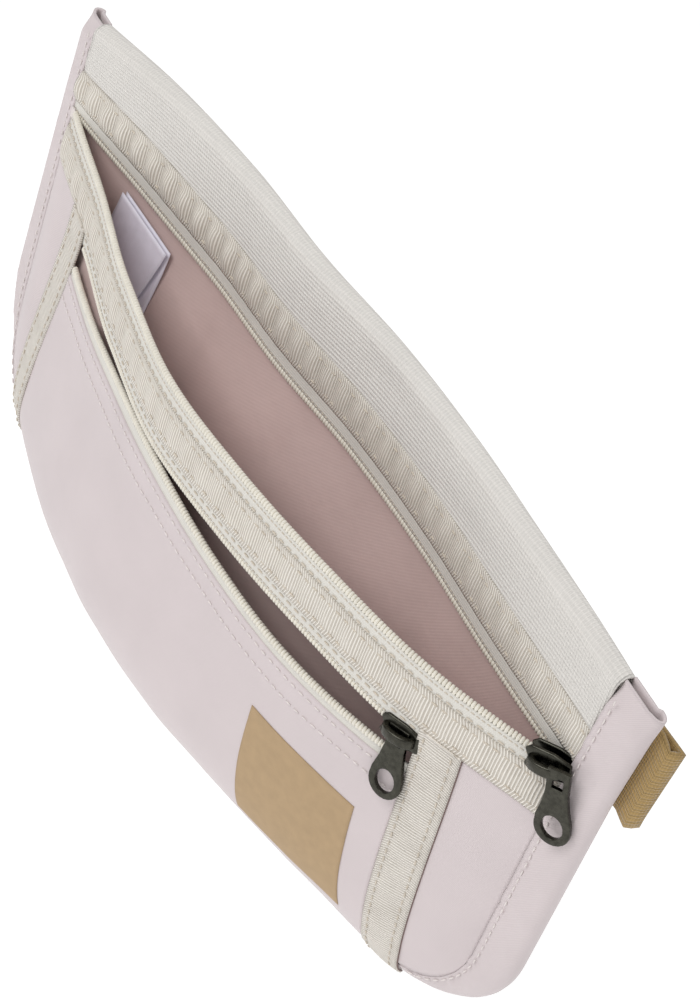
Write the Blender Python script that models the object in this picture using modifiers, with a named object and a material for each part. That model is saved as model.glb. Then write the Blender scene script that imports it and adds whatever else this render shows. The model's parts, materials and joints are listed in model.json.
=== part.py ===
"""A flat travel pouch worn on an elastic waist belt: two zips, an outer pocket and a buckled strap.

Axes: +X along the pouch to its open end, +Y towards the wearer, +Z up. Units are metres.
The origin is the middle of the belt line, on the inner face of the back panel.
"""

import math

import bmesh
import bpy
import numpy as np
from mathutils import Vector

# Driving dimensions
LENGTH = 0.290
HEIGHT = 0.137
TOP_ABOVE_BELT = 0.020
END_BAND_WIDTH = 0.012
CORNER_RADIUS = 0.037
BOTTOM_SAG = 0.0078
LIP_DROP = 0.0365
LIP_BULGE = 0.026
BACK_BOW = 0.0084
CLOTH = 0.0008
BACK_PADDING = 0.0025
GROSGRAIN_WIDTH = 0.0119
TAPE_WIDTH = 0.0037
COIL_RADIUS = 0.00075
SIDE_TAPE_WIDTH = 0.012
SIDE_TAPE_INSET = 0.028
POCKET_DEPTH = 0.0125
LIP_DROOP = 0.0036
HEM_PRESS = 0.0003
PATCH_SHARE = 0.398
PATCH_CENTRE_X = 0.060
PATCH_DROP = 0.008
LABEL_SHARE = 0.218
LABEL_WIDTH = 0.026
MAIN_SLIDER_INSET = 0.0085
POCKET_SLIDER_INSET = 0.0107
SLIDER_LENGTH = 0.0125
SLIDER_HEIGHT = 0.009
SLIDER_PLATE = 0.0008
CROWN_EYE = 0.0017
CROWN_BAR = 0.0006
MAIN_CROWN_RISE = 0.0022
PULL_LENGTH = 0.026
PULL_WIDTH = 0.0095
PULL_THICKNESS = 0.0010
POCKET_PULL_HANG = math.radians(5)
BELT_WIDTH = 0.032
BELT_THICKNESS = 0.0012
BELT_BEND_INSET = 0.025
BUCKLE_LENGTH = 0.030

# Clearances
EDGE_GAP = 0.0003
SLIDE_GAP = 0.0004
LAYER_GAP = 0.0014

# Places that follow from the sizes above
TOP = TOP_ABOVE_BELT
BOTTOM = TOP - HEIGHT
HALF = LENGTH / 2
ZIP_HALF = HALF - END_BAND_WIDTH
STRIP_HALF = ZIP_HALF - EDGE_GAP
LIP_Z = TOP - LIP_DROP
FRONT_Y = -(LAYER_GAP + CLOTH)
BACK_LEAF_Y = BACK_PADDING + EDGE_GAP + CLOTH
LIP_RADIUS = (ZIP_HALF ** 2 + LIP_BULGE ** 2) / (2 * LIP_BULGE)
LIP_AXIS_Y = FRONT_Y - LIP_BULGE + LIP_RADIUS
COIL_STEP = COIL_RADIUS + EDGE_GAP
TAPE_END = COIL_STEP + TAPE_WIDTH
GROSGRAIN_START = TAPE_END + EDGE_GAP
GROSGRAIN_END = GROSGRAIN_START + GROSGRAIN_WIDTH
POCKET_COIL = GROSGRAIN_END + EDGE_GAP + TAPE_WIDTH + COIL_STEP
POCKET_LOWER_COIL = POCKET_COIL + 4 * COIL_RADIUS
SIDE_TAPE_OUTER = HALF - SIDE_TAPE_INSET
SIDE_TAPE_INNER = SIDE_TAPE_OUTER - SIDE_TAPE_WIDTH
POCKET_HALF = SIDE_TAPE_INNER - EDGE_GAP
HEM_SHARE = 0.94
PATCH_SIZE = PATCH_SHARE * (HEIGHT - LIP_DROP)
TAPER_ANGLE = math.radians(75)
BAND_TAPERED_WIDTH = 0.0035

COLOURS = {
    "pink": ((0.67, 0.60, 0.60), 0.85, 0.0),
    "mesh": ((0.67, 0.65, 0.62), 0.9, 0.0),
    "grosgrain": ((0.61, 0.55, 0.47), 0.7, 0.0),
    "tape": ((0.76, 0.74, 0.68), 0.7, 0.0),
    "coil": ((0.81, 0.76, 0.68), 0.45, 0.0),
    "lining": ((0.45, 0.33, 0.30), 0.8, 0.0),
    "label": ((0.70, 0.67, 0.72), 0.6, 0.0),
    "patch": ((0.46, 0.32, 0.18), 0.6, 0.0),
    "belt": ((0.44, 0.30, 0.12), 0.85, 0.0),
    "metal": ((0.03, 0.03, 0.026), 0.25, 1.0),
    "plastic": ((0.05, 0.045, 0.04), 0.4, 0.0),
}


def clearScene():
    for item in list(bpy.data.objects):
        bpy.data.objects.remove(item, do_unlink=True)


def newCollection(name, hidden=False):
    collection = bpy.data.collections.new(name)
    bpy.context.scene.collection.children.link(collection)
    collection.hide_render = hidden
    return collection


def material(name):
    found = bpy.data.materials.get(name)
    if found:
        return found
    colour, roughness, metallic = COLOURS[name]
    made = bpy.data.materials.new(name)
    made.use_nodes = True
    shader = made.node_tree.nodes["Principled BSDF"]
    shader.inputs["Base Color"].default_value = (*colour, 1)
    shader.inputs["Roughness"].default_value = roughness
    shader.inputs["Metallic"].default_value = metallic
    return made


def addObject(name, data, look, collection):
    made = bpy.data.objects.new(name, data)
    collection.objects.link(made)
    data.materials.append(material(look))
    return made


def solidify(made, thickness):
    shell = made.modifiers.new("thickness", "SOLIDIFY")
    shell.thickness = thickness
    shell.offset = 0
    shell.use_even_offset = True


def sheet(name, columns, rows, place, look, thickness=CLOTH):
    """A grid whose corners are put by place(u, v), both 0 to 1, and thickened about its middle."""
    mesh = bpy.data.meshes.new(name)
    grid = bmesh.new()
    bmesh.ops.create_grid(grid, x_segments=columns, y_segments=rows, size=0.5)
    for corner in grid.verts:
        corner.co = Vector(place(corner.co.x + 0.5, corner.co.y + 0.5))
    for face in grid.faces:
        face.smooth = True
    grid.to_mesh(mesh)
    grid.free()
    made = addObject(name, mesh, look, parts)
    solidify(made, thickness)
    return made


def block(name, size, centre, look, collection, rounding=0.0):
    mesh = bpy.data.meshes.new(name)
    box = bmesh.new()
    bmesh.ops.create_cube(box, size=1)
    for corner in box.verts:
        corner.co = Vector((corner.co[i] * size[i] + centre[i] for i in range(3)))
    box.to_mesh(mesh)
    box.free()
    made = addObject(name, mesh, look, collection)
    if rounding:
        bevel = made.modifiers.new("rounding", "BEVEL")
        bevel.width = rounding
        bevel.segments = 2
    return made


def combine(made, other, operation):
    """Joins or cuts one object with a hidden helper."""
    other.hide_render = True
    other.display_type = "WIRE"
    boolean = made.modifiers.new(other.name, "BOOLEAN")
    boolean.object = other
    boolean.operation = operation


def tube(name, points, radius, look):
    curve = bpy.data.curves.new(name, "CURVE")
    curve.dimensions = "3D"
    curve.bevel_depth = radius
    curve.bevel_resolution = 1
    curve.use_fill_caps = True
    line = curve.splines.new("POLY")
    line.points.add(len(points) - 1)
    for knot, point in zip(line.points, points):
        knot.co = (*point, 1)
    return addObject(name, curve, look, parts)


def between(low, high, share):
    return low + (high - low) * share


def smooth(low, high, value):
    share = min(1, max(0, (value - low) / (high - low)))
    return share * share * (3 - 2 * share)


# Pouch surfaces


def frontY(x):
    """The front wall in plan: one arc between the end bands, flat beyond them."""
    if abs(x) >= ZIP_HALF:
        return FRONT_Y
    return FRONT_Y - (math.sqrt(LIP_RADIUS ** 2 - x * x) - (LIP_RADIUS - LIP_BULGE))


def backY(x, z):
    """The back panel's inner face: bowed along the top, flat in its lower half."""
    share = min(1, max(0, (x + ZIP_HALF) / (2 * ZIP_HALF)))
    bow = BACK_BOW * 4 * share * (1 - share) * (1 + 0.26 * (2 * share - 1))
    return bow * smooth(LIP_Z - 0.029, LIP_Z, z)


def fullness(x):
    share = min(1, max(0, (x + ZIP_HALF) / (2 * ZIP_HALF)))
    return math.sin(math.pi * share)


def bottomZ(x):
    """The bottom seam, with round corners and a sag in the middle."""
    beyond = max(0, abs(x) - (HALF - CORNER_RADIUS))
    rise = CORNER_RADIUS - math.sqrt(max(0, CORNER_RADIUS ** 2 - beyond ** 2))
    return BOTTOM + rise - BOTTOM_SAG * fullness(x)


def droop(x):
    """How far the pocket's lower lip falls away from its upper one, in two stretches."""
    right = math.sin(math.pi * min(1, max(0, (x + 0.015) / 0.110)))
    left = math.sin(math.pi * min(1, max(0, (x + 0.108) / 0.062)))
    return LIP_DROOP * (right + 0.7 * left)


def panelTop(x):
    return POCKET_LOWER_COIL + COIL_STEP + TAPE_WIDTH * 0.8 + EDGE_GAP + droop(x)


def profile(x, share, start):
    """The front wall below depth start, down to the bottom seam: a point (y, z) at this share."""
    full = fullness(x)
    y0 = frontY(x)
    z0 = LIP_Z - start
    z3 = bottomZ(x)
    knots = (
        (y0, z0),
        (y0 - 0.003 * full, z0 - 0.38 * (z0 - z3)),
        (FRONT_Y - 0.048 * full, z3 + 0.007 * full),
        (FRONT_Y, z3),
    )
    left = 1 - share
    weights = (left ** 3, 3 * left * left * share, 3 * left * share * share, share ** 3)
    return [sum(w * knot[i] for w, knot in zip(weights, knots)) for i in (0, 1)]


def wallY(x, z):
    """The front wall's y at a height, on the pocket's side panels and the end bands."""
    start = GROSGRAIN_END
    if abs(x) >= ZIP_HALF or z >= LIP_Z - start:
        return frontY(x)
    points = [profile(x, k / 24, start) for k in range(25)]
    return float(np.interp(-z, [-p[1] for p in points], [p[0] for p in points]))


def onWall(x, depth):
    return (x, frontY(x), LIP_Z - depth)


def wallStrip(name, reach, top, foot, look, columns=24):
    """A strip along the upright part of the front wall, between two depths below the lip."""

    def place(u, v):
        x = between(-reach, reach, u)
        return onWall(x, between(foot(x), top(x), v))

    return sheet(name, columns, 1, place, look)


def backStrip(name, low, high, look, columns=24):
    def place(u, v):
        x = between(-STRIP_HALF, STRIP_HALF, u)
        z = between(low, high, v)
        return (x, backY(x, z) + FRONT_Y, z)

    return sheet(name, columns, 1, place, look)


def coil(name, reach, height, y):
    steps = 26
    points = []
    for k in range(steps + 1):
        x = between(-reach, reach, k / steps)
        points.append((x, y(x), height(x)))
    return tube(name, points, COIL_RADIUS, "coil")


def makeBack():
    """The padded back, whose lowest row the hem presses in, and the lining before it."""

    def panel(u, v):
        reach = HALF - 0.0045
        x = between(-reach, reach, u)
        z = between(bottomZ(x) + 0.0045, TOP - 0.003, v)
        pressed = HEM_PRESS if v < 0.05 else 0
        return (x, backY(x, z) + BACK_PADDING / 2 - pressed, z)

    def lining(u, v):
        reach = ZIP_HALF - 0.004
        x = between(-reach, reach, u)
        z = between(bottomZ(x) + 0.006, LIP_Z - 0.008, v)
        return (x, backY(x, z) - CLOTH - EDGE_GAP / 2, z)

    sheet("back_panel", 24, 10, panel, "mesh", BACK_PADDING)
    sheet("back_lining", 20, 6, lining, "lining", CLOTH * 0.75)


def makeTopStrip():
    """The knit strip: up the front, over the top fold and a little way down the back."""
    foot = TOP - 0.0195
    radius = (BACK_LEAF_Y - FRONT_Y) / 2

    def place(u, v):
        x = between(-STRIP_HALF, STRIP_HALF, u)
        step = round(v * 10)
        if step <= 3:
            z = between(foot, TOP - radius, step / 3)
            return (x, backY(x, z) + FRONT_Y, z)
        if step >= 8:
            z = between(TOP - radius, TOP - 0.014, (step - 8) / 2)
            return (x, backY(x, z) + BACK_LEAF_Y, z)
        turn = math.pi * (step - 3) / 5
        middle = backY(x, TOP) + (BACK_LEAF_Y + FRONT_Y) / 2
        return (x, middle - radius * math.cos(turn), TOP - radius + radius * math.sin(turn))

    sheet("top_strip", 24, 10, place, "mesh")
    tapeLow = LIP_Z + 4 * COIL_RADIUS + COIL_STEP
    backStrip("upper_grosgrain", tapeLow + 0.0028 + EDGE_GAP, foot - EDGE_GAP, "grosgrain")
    backStrip("main_tape_back", tapeLow, tapeLow + 0.0028, "tape")


def makeZips():
    coilReach = ZIP_HALF - 0.002
    backZ = LIP_Z + 4 * COIL_RADIUS
    coil("main_coil_front", coilReach, lambda x: LIP_Z, frontY)
    coil("main_coil_back", coilReach, lambda x: backZ, lambda x: backY(x, backZ) + FRONT_Y)
    wallStrip("main_tape_front", STRIP_HALF, lambda x: COIL_STEP, lambda x: TAPE_END, "tape")
    wallStrip(
        "mid_grosgrain", STRIP_HALF, lambda x: GROSGRAIN_START, lambda x: GROSGRAIN_END, "grosgrain"
    )
    pocketReach = POCKET_HALF - 0.002
    coil("pocket_coil_upper", pocketReach, lambda x: LIP_Z - POCKET_COIL, frontY)
    coil(
        "pocket_coil_lower", pocketReach, lambda x: LIP_Z - POCKET_LOWER_COIL - droop(x), frontY
    )
    wallStrip(
        "pocket_tape_upper",
        POCKET_HALF,
        lambda x: GROSGRAIN_END + EDGE_GAP,
        lambda x: POCKET_COIL - COIL_STEP,
        "tape",
    )
    wallStrip(
        "pocket_tape_lower",
        POCKET_HALF,
        lambda x: POCKET_LOWER_COIL + COIL_STEP + droop(x),
        lambda x: panelTop(x) - EDGE_GAP,
        "tape",
    )
    for side, name in ((1, "right"), (-1, "left")):
        end = side * (coilReach + 0.001)
        size = (0.0012, 2 * COIL_RADIUS, 5 * COIL_RADIUS)
        middle = LIP_Z + 2 * COIL_RADIUS
        block("main_stop_" + name, size, (end, frontY(end), middle), "tape", parts)
        end = side * (pocketReach + 0.001)
        middle = LIP_Z - POCKET_COIL - 2 * COIL_RADIUS
        block("pocket_stop_" + name, size, (end, frontY(end), middle), "tape", parts)


def makeFront():
    def panel(u, v):
        x = between(-POCKET_HALF, POCKET_HALF, u)
        y, z = profile(x, v * (HEM_SHARE - 0.01), panelTop(x))
        return (x, y, z)

    sheet("front_panel", 24, 10, panel, "pink")
    for side, name in ((1, "right"), (-1, "left")):

        def tape(u, v, side=side):
            x = side * between(SIDE_TAPE_INNER, SIDE_TAPE_OUTER - EDGE_GAP, u)
            y, z = profile(x, v * (HEM_SHARE - 0.01), GROSGRAIN_END + EDGE_GAP)
            return (x, y, z)

        sheet("vertical_tape_" + name, 3, 10, tape, "grosgrain")

        def corner(u, v, side=side):
            x = between(SIDE_TAPE_OUTER, STRIP_HALF, u)
            high = LIP_Z - GROSGRAIN_END - EDGE_GAP
            z = between(bandInnerZ(x) + 5 * EDGE_GAP, high, v)
            return (side * x, wallY(x, z), z)

        sheet("front_corner_" + name, 4, 8, corner, "pink")


def makeDivider():
    """The wall between the outer pocket and the main room, from under the lip to the bottom seam."""
    start = 0.0065

    def place(u, v):
        x = between(-SIDE_TAPE_OUTER, SIDE_TAPE_OUTER, u)
        y, z = profile(x, v, start)
        wanted = between(1.5 * CLOTH, POCKET_DEPTH, smooth(start, POCKET_COIL, LIP_Z - z))
        room = 0.75 * (FRONT_Y - y)
        return (x, y + min(wanted, room), z + 0.004 * v)

    sheet("pocket_divider", 22, 10, place, "lining", CLOTH * 0.75)


# End bands and hem


def bandPath(u):
    """Outline point, inward direction and width of a band at a share of its length, for the +X end."""
    straight = 0.62
    if u <= straight:
        z = between(TOP, BOTTOM + CORNER_RADIUS, u / straight)
        return Vector((HALF, z)), Vector((-1, 0)), END_BAND_WIDTH
    share = (u - straight) / (1 - straight)
    turn = TAPER_ANGLE * share
    out = Vector((math.cos(turn), -math.sin(turn)))
    centre = Vector((HALF - CORNER_RADIUS, BOTTOM + CORNER_RADIUS))
    width = between(END_BAND_WIDTH, BAND_TAPERED_WIDTH, smooth(0, 1, share))
    return centre + CORNER_RADIUS * out, -out, width


def bandInnerZ(x):
    inner = [path[0] + path[1] * path[2] for path in (bandPath(between(0.62, 1, k / 20)) for k in range(21))]
    return float(np.interp(x, [p.x for p in reversed(inner)], [p.y for p in reversed(inner)]))


def makeBands():
    radius = (BACK_LEAF_Y - FRONT_Y) / 2
    for side, name in ((1, "right"), (-1, "left")):

        def place(u, v, side=side):
            outline, inward, width = bandPath(u)
            step = round(v * 8)
            deep = radius
            if step <= 2:
                deep = between(width, radius, step / 2)
            elif step >= 6:
                deep = between(radius, width, (step - 6) / 2)
            flat = outline + inward * deep
            front = wallY(flat.x, flat.y)
            if step <= 2:
                return (side * flat.x, front, flat.y)
            if step >= 6:
                return (side * flat.x, BACK_LEAF_Y, flat.y)
            turn = math.pi * (step - 2) / 4
            round_ = outline + inward * radius * (1 - math.sin(turn))
            middle = (BACK_LEAF_Y + front) / 2
            y = middle - (BACK_LEAF_Y - front) / 2 * math.cos(turn)
            return (side * round_.x, y, round_.y)

        sheet("end_band_" + name, 18, 8, place, "pink")

    def hem(u, v):
        reach = SIDE_TAPE_OUTER - 2 * CLOTH
        x = between(-reach, reach, u)
        step = round(v * 6)
        if step <= 2:
            y, z = profile(x, between(HEM_SHARE, 1, step / 2), panelTop(x))
            return (x, y, z)
        low = bottomZ(x)
        if step == 3:
            return (x, (FRONT_Y + BACK_LEAF_Y) / 2, low - 0.0012)
        return (x, BACK_LEAF_Y, low + 0.004 * (step - 4))

    sheet("bottom_binding", 20, 6, hem, "pink")


def makeLabels():
    def patch(u, v):
        x = PATCH_CENTRE_X + PATCH_SIZE * (u - 0.5)
        top = profile(x, 0, panelTop(x))[1] - PATCH_DROP
        points = [profile(x, k / 30, panelTop(x)) for k in range(31)]
        z = top - PATCH_SIZE * v
        y = float(np.interp(-z, [-p[1] for p in points], [p[0] for p in points]))
        return (x, y - CLOTH / 2 - EDGE_GAP - 0.00015, z)

    sheet("logo_patch", 6, 5, patch, "patch", 0.0003)
    for name, gap, length in (("care_label", 0.0045, 0.040), ("care_label_under", 0.0031, 0.030)):

        def label(u, v, gap=gap, length=length):
            x = ZIP_HALF * (LABEL_SHARE - 1) + LABEL_WIDTH * u
            z = between(LIP_Z - 0.010, LIP_Z - 0.010 - length, v)
            return (x, backY(x, z) - gap, z)

        sheet(name, 4, 4, label, "label", 0.0003)


# Sliders


def cProfile(name, length, flip):
    """A slider body: front plate, post past the coil and back plate, as one bent section along X."""
    channel = COIL_RADIUS + SLIDE_GAP
    front = -channel - SLIDER_PLATE
    back = channel + SLIDER_PLATE
    foot = -SLIDER_HEIGHT / 2
    head = SLIDER_HEIGHT / 2
    post = COIL_RADIUS + SLIDE_GAP * 0.5
    thick = 2 * COIL_RADIUS - SLIDE_GAP
    outline = (
        (front, foot),
        (-channel, foot),
        (-channel, post),
        (channel, post),
        (channel, foot),
        (back, foot),
        (back, post + thick),
        (-channel, post + thick),
        (-channel, head),
        (front, head),
    )
    mesh = bpy.data.meshes.new(name)
    body = bmesh.new()
    corners = [body.verts.new((-length / 2, y, flip * z)) for y, z in outline]
    face = body.faces.new(corners)
    grown = bmesh.ops.extrude_face_region(body, geom=[face])["geom"]
    moved = [item for item in grown if isinstance(item, bmesh.types.BMVert)]
    bmesh.ops.translate(body, verts=moved, vec=(length, 0, 0))
    bmesh.ops.recalc_face_normals(body, faces=body.faces)
    body.to_mesh(mesh)
    body.free()
    return addObject(name, mesh, "metal", parts)


def makeSlider(name, x, depth, lean, flip, rise, hang=0.0):
    """A slider at a place along its zip, on the tape below it or (flip -1) above it, with its pull.

    The main slider's crown stands higher by rise, so that its pull passes over the pocket's slider.
    A pull with a hang stands off the wall by that angle, so that it clears the panel along its way.
    """
    holder = bpy.data.objects.new(name + "_place", None)
    parts.objects.link(holder)
    holder.location = (x, frontY(x), LIP_Z - depth)
    holder.rotation_euler = (0, 0, math.atan2(x, LIP_AXIS_Y - frontY(x)))
    body = cProfile(name + "_slider", SLIDER_LENGTH, flip)
    face = COIL_RADIUS + SLIDE_GAP + SLIDER_PLATE
    tall = rise + CROWN_EYE + CROWN_BAR
    wide = 0.0074
    arch = block(name + "_arch", (0.0016, tall + 0.0003, wide), (0, -face - (tall - 0.0003) / 2, 0), "metal", helpers)
    pivot = face + rise + CROWN_EYE / 2
    hollow = block(name + "_eye", (0.01, CROWN_EYE, wide - 0.0028), (0, -pivot, 0), "metal", helpers)
    for item in (arch, hollow):
        item.rotation_euler = (0, lean, 0)
    combine(arch, hollow, "DIFFERENCE")
    combine(body, arch, "UNION")
    pull = makePull(name + "_pull")
    pull.location = (0, -pivot, 0)
    pull.rotation_euler = (-hang, lean, 0)
    for item in (body, arch, hollow, pull):
        item.parent = holder


def makePull(name):
    """A flat tab with a slot for the crown and an oval ring hole, hanging from its top bar."""
    curve = bpy.data.curves.new(name, "CURVE")
    curve.dimensions = "2D"
    curve.fill_mode = "BOTH"
    curve.extrude = PULL_THICKNESS / 2
    waist = PULL_WIDTH * 0.31
    belly = PULL_WIDTH / 2
    ringTop = -PULL_LENGTH * 0.48
    ringLow = -PULL_LENGTH + belly
    sides = [(waist, 0.0001), (waist * 0.7, 0.0005)]
    outline = [(-px, pz) for px, pz in reversed(sides)] + [(-waist, ringTop + 0.004), (-belly, ringTop - 0.002)]
    for k in range(9):
        angle = math.pi + math.pi * k / 8
        outline.append((belly * math.cos(angle), ringLow + belly * math.sin(angle)))
    outline += [(belly, ringTop - 0.002), (waist, ringTop + 0.004)] + sides
    slot = [(-0.0013, -0.0005), (0.0013, -0.0005), (0.0013, -0.0062), (-0.0013, -0.0062)]
    hole = []
    for k in range(14):
        angle = 2 * math.pi * k / 14
        middle = (ringTop + ringLow) / 2 - 0.0016
        hole.append((0.0019 * math.cos(angle), middle + 0.0036 * math.sin(angle)))
    for points in (outline, slot, hole):
        line = curve.splines.new("POLY")
        line.points.add(len(points) - 1)
        line.use_cyclic_u = True
        for knot, point in zip(line.points, points):
            knot.co = (*point, 0, 1)
    flat = addObject(name, curve, "metal", parts)
    bpy.context.view_layer.update()
    graph = bpy.context.evaluated_depsgraph_get()
    mesh = bpy.data.meshes.new_from_object(flat.evaluated_get(graph))
    bpy.data.objects.remove(flat)
    solid = bmesh.new()
    solid.from_mesh(mesh)
    bmesh.ops.remove_doubles(solid, verts=solid.verts, dist=0.00001)
    for corner in solid.verts:
        corner.co = Vector((corner.co.x, -corner.co.z, corner.co.y))
    bmesh.ops.recalc_face_normals(solid, faces=solid.faces)
    solid.to_mesh(mesh)
    solid.free()
    made = bpy.data.objects.new(name, mesh)
    parts.objects.link(made)
    return made


# Belt


def strapLine(knots, steps):
    """A smooth line through (x, y, z) knots, at equal shares of their chord lengths."""
    knots = np.array(knots)
    chords = np.r_[0, np.cumsum(np.linalg.norm(np.diff(knots, axis=0), axis=1))]
    padded = np.vstack([2 * knots[0] - knots[1], knots, 2 * knots[-1] - knots[-2]])
    points = []
    for share in np.linspace(0, chords[-1], steps + 1):
        k = min(len(knots) - 2, int(np.searchsorted(chords, share, "right")) - 1)
        t = (share - chords[k]) / (chords[k + 1] - chords[k])
        a, b, c, d = padded[k : k + 4]
        points.append(
            0.5 * (2 * b + (c - a) * t + (2 * a - 5 * b + 4 * c - d) * t * t + (3 * b - a - 3 * c + d) * t ** 3)
        )
    return points


def uTurn(x, y, radius, z, side):
    """Knots round a fold of the strap that opens away from side, from y up by two radii."""
    knots = []
    for k in range(7):
        angle = math.pi * k / 6
        knots.append((x + side * radius * math.sin(angle), y + radius * (1 - math.cos(angle)), z))
    return knots


def lane(start, end, y):
    """Knots along a straight stretch of the folded strap."""
    count = 1 + round(abs(end - start) / 0.012)
    return [(between(start, end, k / count), y, BELT_LOW_Z) for k in range(count + 1)]


def strap(name, knots, steps):
    line = strapLine(knots, steps)

    def place(u, v):
        point = line[round(u * steps)]
        return (point[0], point[1], point[2] + BELT_WIDTH * (v - 0.5))

    return sheet(name, steps, 1, place, "belt", BELT_THICKNESS)


BELT_SEWN_Y = BACK_LEAF_Y + CLOTH / 2 + EDGE_GAP + BELT_THICKNESS / 2
BELT_LOW_Z = -0.055
RUN_Y = (0.0072, 0.0152, 0.0226)
TAIL_TURN_X = 0.095
FEMALE_X = -0.060
MALE_X = FEMALE_X + BUCKLE_LENGTH + EDGE_GAP
MALE_BASE = 0.014


def makeBelt():
    loopX = HALF + 0.007
    loop = uTurn(loopX, BELT_SEWN_Y, 0.003, 0, 1)
    sewn = [(HALF - END_BAND_WIDTH, BELT_SEWN_Y, 0), (HALF, BELT_SEWN_Y, 0)]
    down = [(HALF - BELT_BEND_INSET, 0.0118, -0.004), (0.085, 0.0128, -0.028), (0.050, 0.0098, -0.048)]
    turn = uTurn(-0.092, RUN_Y[0], (RUN_Y[1] - RUN_Y[0]) / 2, BELT_LOW_Z, -1)
    front = lane(0.024, -0.080, RUN_Y[0])
    back = lane(-0.080, TAIL_TURN_X - EDGE_GAP, RUN_Y[1])
    strap("belt_right", sewn + loop + down + front + turn + back, 120)
    tail = uTurn(TAIL_TURN_X + EDGE_GAP, RUN_Y[1], (RUN_Y[2] - RUN_Y[1]) / 2, BELT_LOW_Z, 1)
    maleEnd = MALE_X + MALE_BASE + EDGE_GAP
    strap("belt_tail", tail + lane(TAIL_TURN_X - 0.015, maleEnd, RUN_Y[2]), 30)
    left = [
        (-HALF + END_BAND_WIDTH, BELT_SEWN_Y, 0),
        (BELT_BEND_INSET - HALF, 0.0070, -0.004),
        (-0.098, 0.0165, -0.022),
        (-0.078, 0.0218, -0.045),
        (FEMALE_X - EDGE_GAP, RUN_Y[2], BELT_LOW_Z),
    ]
    strap("belt_left", left, 24)


def makeBuckle():
    height = BELT_WIDTH + 0.006
    thick = 0.009
    y = RUN_Y[2]
    female = block(
        "buckle_female",
        (BUCKLE_LENGTH, thick, height),
        (FEMALE_X + BUCKLE_LENGTH / 2, y, BELT_LOW_Z),
        "plastic",
        parts,
        0.0015,
    )
    cavity = block(
        "buckle_cavity",
        (BUCKLE_LENGTH, thick - 0.004, height - 0.006),
        (FEMALE_X + BUCKLE_LENGTH / 2 + 0.006, y, BELT_LOW_Z),
        "plastic",
        helpers,
    )
    combine(female, cavity, "DIFFERENCE")
    male = block(
        "buckle_male",
        (MALE_BASE, thick - 0.001, height - 0.002),
        (MALE_X + MALE_BASE / 2, y, BELT_LOW_Z),
        "plastic",
        parts,
        0.0012,
    )
    reach = BUCKLE_LENGTH - 0.008
    for z, width in ((0, 0.008), (0.011, 0.006), (-0.011, 0.006)):
        prong = block(
            "prong",
            (reach + 0.004, thick - 0.004 - 2 * SLIDE_GAP, width),
            (MALE_X - reach / 2 + 0.002, y, BELT_LOW_Z + z),
            "plastic",
            helpers,
        )
        combine(male, prong, "UNION")
    for name, x, depth, length in (("belt_adjuster", 0.035, 0.0044, 0.012), ("belt_keeper", -0.045, 0.0034, 0.008)):
        ring = block(
            name, (length, depth, BELT_WIDTH + 0.005), (x, RUN_Y[1], BELT_LOW_Z), "plastic", parts, 0.0004
        )
        slot = block(
            name + "_slot",
            (length * 2, BELT_THICKNESS + 2 * SLIDE_GAP, BELT_WIDTH + 2 * SLIDE_GAP),
            (x, RUN_Y[1], BELT_LOW_Z),
            "plastic",
            helpers,
        )
        combine(ring, slot, "DIFFERENCE")


clearScene()
parts = newCollection("waist_pouch")
helpers = newCollection("helpers", hidden=True)
makeBack()
makeTopStrip()
makeZips()
makeFront()
makeDivider()
makeBands()
makeLabels()
makeSlider("main", ZIP_HALF - MAIN_SLIDER_INSET, 0, math.radians(-15), 1, MAIN_CROWN_RISE)
pocketX = POCKET_HALF - POCKET_SLIDER_INSET
makeSlider("pocket", pocketX, POCKET_COIL, math.radians(-8), -1, 0, POCKET_PULL_HANG)
makeBelt()
makeBuckle()
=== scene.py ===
import json
import math

import bmesh
import bpy
import numpy as np
from mathutils import Matrix, Vector, noise


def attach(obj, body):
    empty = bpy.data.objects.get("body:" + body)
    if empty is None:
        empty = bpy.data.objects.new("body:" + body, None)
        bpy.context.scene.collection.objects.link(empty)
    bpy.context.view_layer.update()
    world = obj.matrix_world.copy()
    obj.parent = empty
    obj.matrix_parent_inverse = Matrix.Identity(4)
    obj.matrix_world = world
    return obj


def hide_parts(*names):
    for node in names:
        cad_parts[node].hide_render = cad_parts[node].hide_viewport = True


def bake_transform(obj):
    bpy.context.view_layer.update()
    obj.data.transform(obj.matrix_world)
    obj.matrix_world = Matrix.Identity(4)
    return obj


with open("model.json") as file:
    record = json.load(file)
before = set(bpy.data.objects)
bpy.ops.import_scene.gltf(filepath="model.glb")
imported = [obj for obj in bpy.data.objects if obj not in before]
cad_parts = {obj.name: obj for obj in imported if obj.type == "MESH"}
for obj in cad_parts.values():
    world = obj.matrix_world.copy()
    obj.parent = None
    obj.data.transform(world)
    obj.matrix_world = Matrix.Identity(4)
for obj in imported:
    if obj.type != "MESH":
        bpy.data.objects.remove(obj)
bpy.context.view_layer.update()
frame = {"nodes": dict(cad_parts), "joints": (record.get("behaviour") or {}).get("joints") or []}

mm = 0.001

# camera: a long lens above the open end, rolled so that the pouch lies across the picture
camera = {
    "place": (0.344, -0.3312, 0.364),
    "azimuth": 43.07,
    "elevation": 40.25,
    "roll": 20.69,
    "lens": 82.75,
}


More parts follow.
